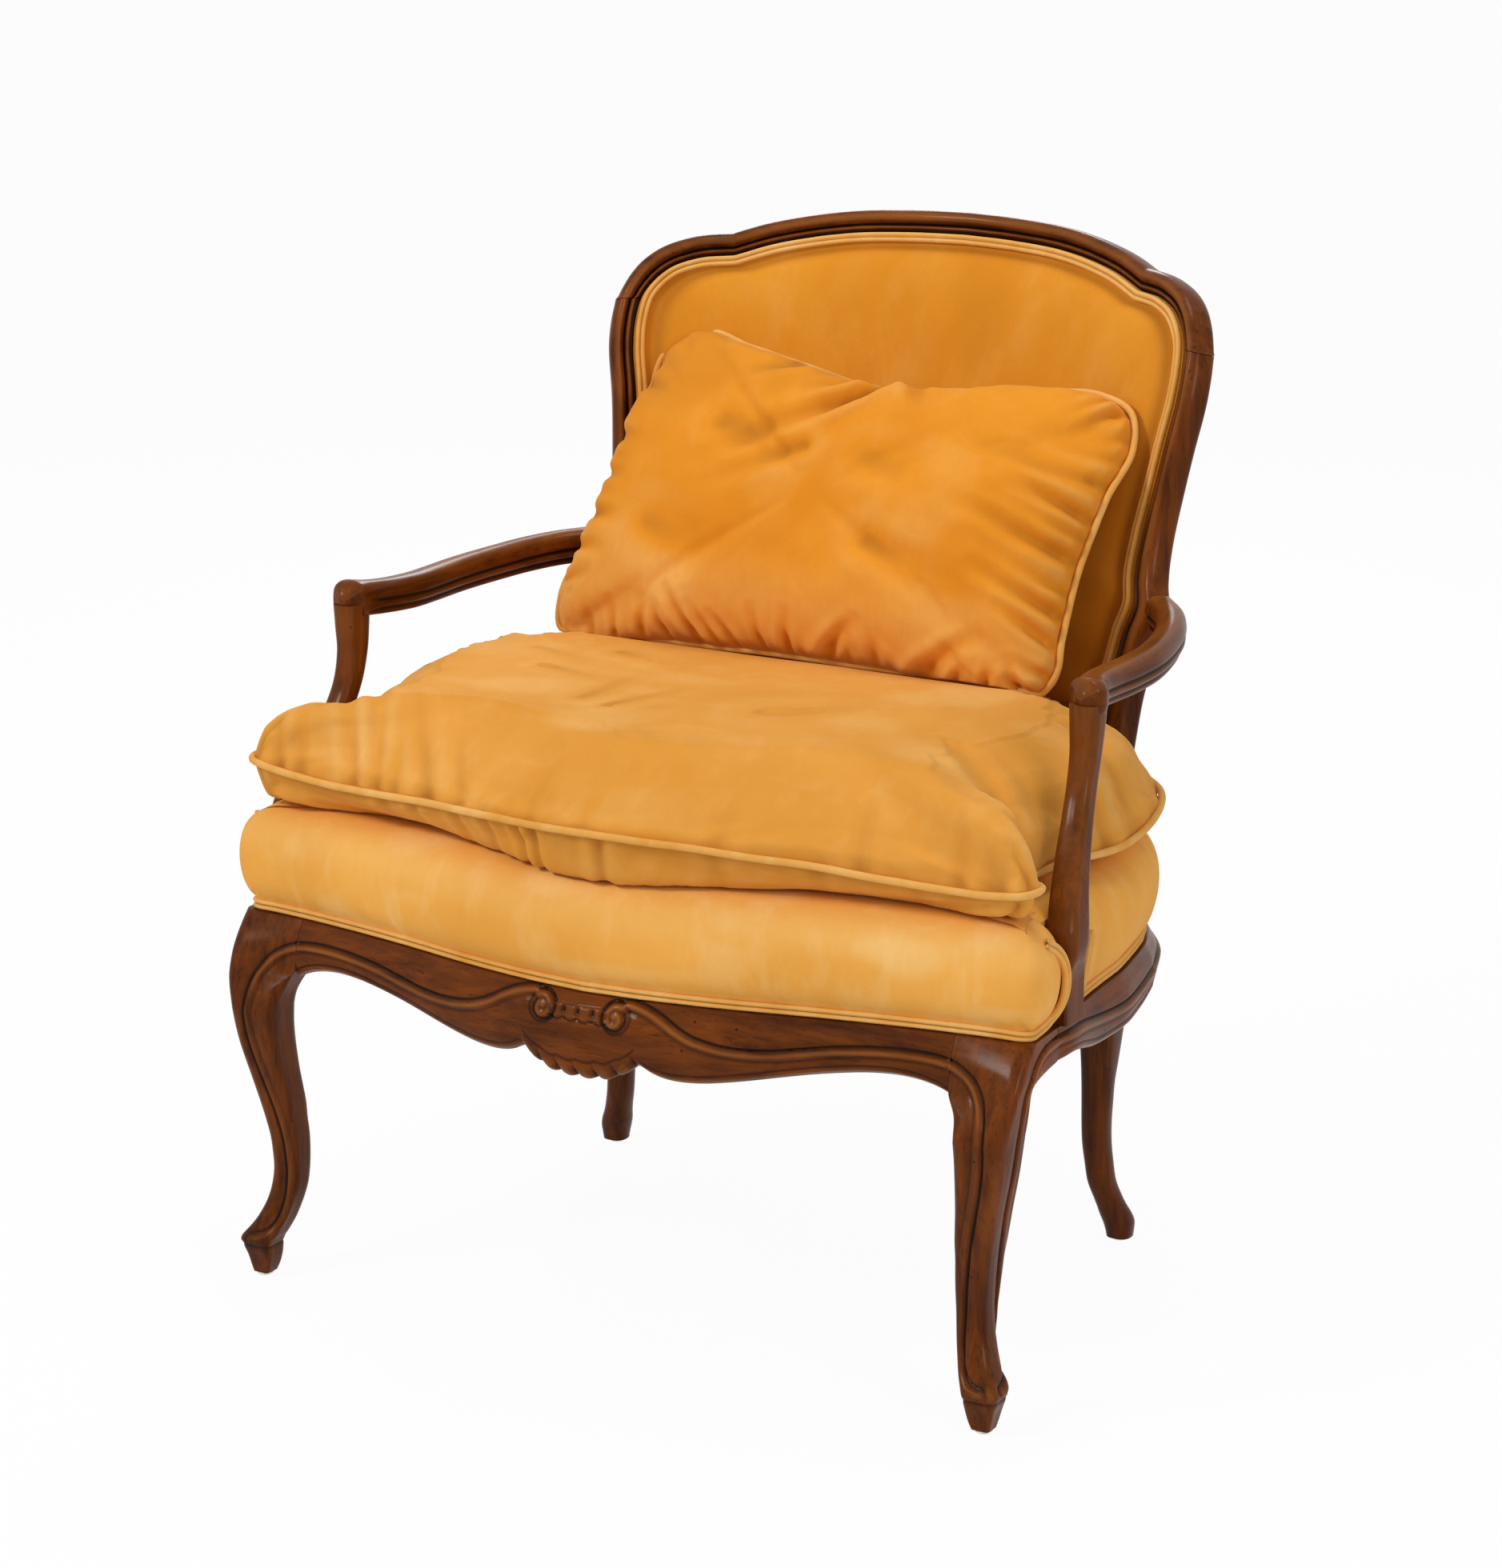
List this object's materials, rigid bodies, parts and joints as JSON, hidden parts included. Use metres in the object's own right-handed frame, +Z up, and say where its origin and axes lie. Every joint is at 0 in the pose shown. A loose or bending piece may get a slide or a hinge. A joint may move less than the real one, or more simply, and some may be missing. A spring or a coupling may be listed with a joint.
{
  "type": "upholstered open-arm chair",
  "caption": "Low, wide armchair with cabriole legs, open curved arms, a raked and curved back, a sprung seat, a loose seat cushion and a loose back pillow.",
  "frame": {"origin": "on the floor, under the centre of the chair's overall box", "axes": "+Z up, +Y to the back of the chair, +X to the sitter's left"},
  "size_m": [0.8332, 0.7603, 0.9313],
  "materials": {
    "walnut": "walnut-brown stain under a worn satin varnish, dark glaze in the grooves",
    "beech": "plain unfinished hardwood",
    "velvet": "golden amber cotton velvet, paler where the pile is worn",
    "piping": "paler gold corded velvet",
    "hessian": "plain jute hessian",
    "webbing": "woven jute webbing",
    "stuffing": "cotton felt over fibre",
    "black_cloth": "thin black cambric",
    "spring_steel": "drawn steel wire",
    "screw_steel": "plain steel",
    "glide_nickel": "nickel-plated, worn"
  },
  "bodies": {
    "frame": {"left_front_leg": "walnut", "left_seat_rail": "walnut", "left_back_post": "walnut", "left_arm": "walnut", "left_arm_post": "walnut", "left_front_corner_block": "beech", "left_rear_corner_block": "beech", "left_front_screw": "screw_steel", "left_rear_screw": "screw_steel", "right_front_leg": "walnut", "right_seat_rail": "walnut", "right_back_post": "walnut", "right_arm": "walnut", "right_arm_post": "walnut", "right_front_corner_block": "beech", "right_rear_corner_block": "beech", "right_front_screw": "screw_steel", "right_rear_screw": "screw_steel", "front_seat_rail": "walnut", "rear_seat_rail": "walnut", "crest_rail": "walnut", "lower_back_rail": "walnut", "left_front_glide": "glide_nickel", "right_front_glide": "glide_nickel", "left_rear_glide": "glide_nickel", "right_rear_glide": "glide_nickel", "seat_webbing": "webbing", "seat_spring_1": "spring_steel", "seat_spring_2": "spring_steel", "seat_spring_3": "spring_steel", "seat_spring_4": "spring_steel", "seat_spring_5": "spring_steel", "seat_spring_6": "spring_steel", "seat_spring_7": "spring_steel", "seat_spring_8": "spring_steel", "seat_spring_9": "spring_steel", "seat_cover": "velvet", "seat_stuffing": "stuffing", "spring_hessian": "hessian", "dust_cover": "black_cloth", "front_seat_welt": "piping", "left_seat_welt": "piping", "right_seat_welt": "piping", "rear_seat_welt": "piping", "back_cover": "velvet", "back_stuffing": "stuffing", "back_hessian": "hessian", "back_webbing": "webbing", "outside_back": "velvet", "back_welt": "piping", "outside_back_welt": "piping"},
    "loose_seat_cushion": {"seat_cushion": "velvet", "seat_cushion_welt": "piping"},
    "loose_pillow": {"pillow": "velvet", "pillow_welt": "piping"}
  },
  "joints": [
    {"name": "seat_cushion_lift", "type": "slide", "parent": "frame", "child": "loose_seat_cushion", "axis": [0, 0, 1], "range_m": [0, 0.6]},
    {"name": "pillow_lift", "type": "slide", "parent": "loose_seat_cushion", "child": "loose_pillow", "axis": [0, 0, 1], "range_m": [0, 0.5]}
  ]
}
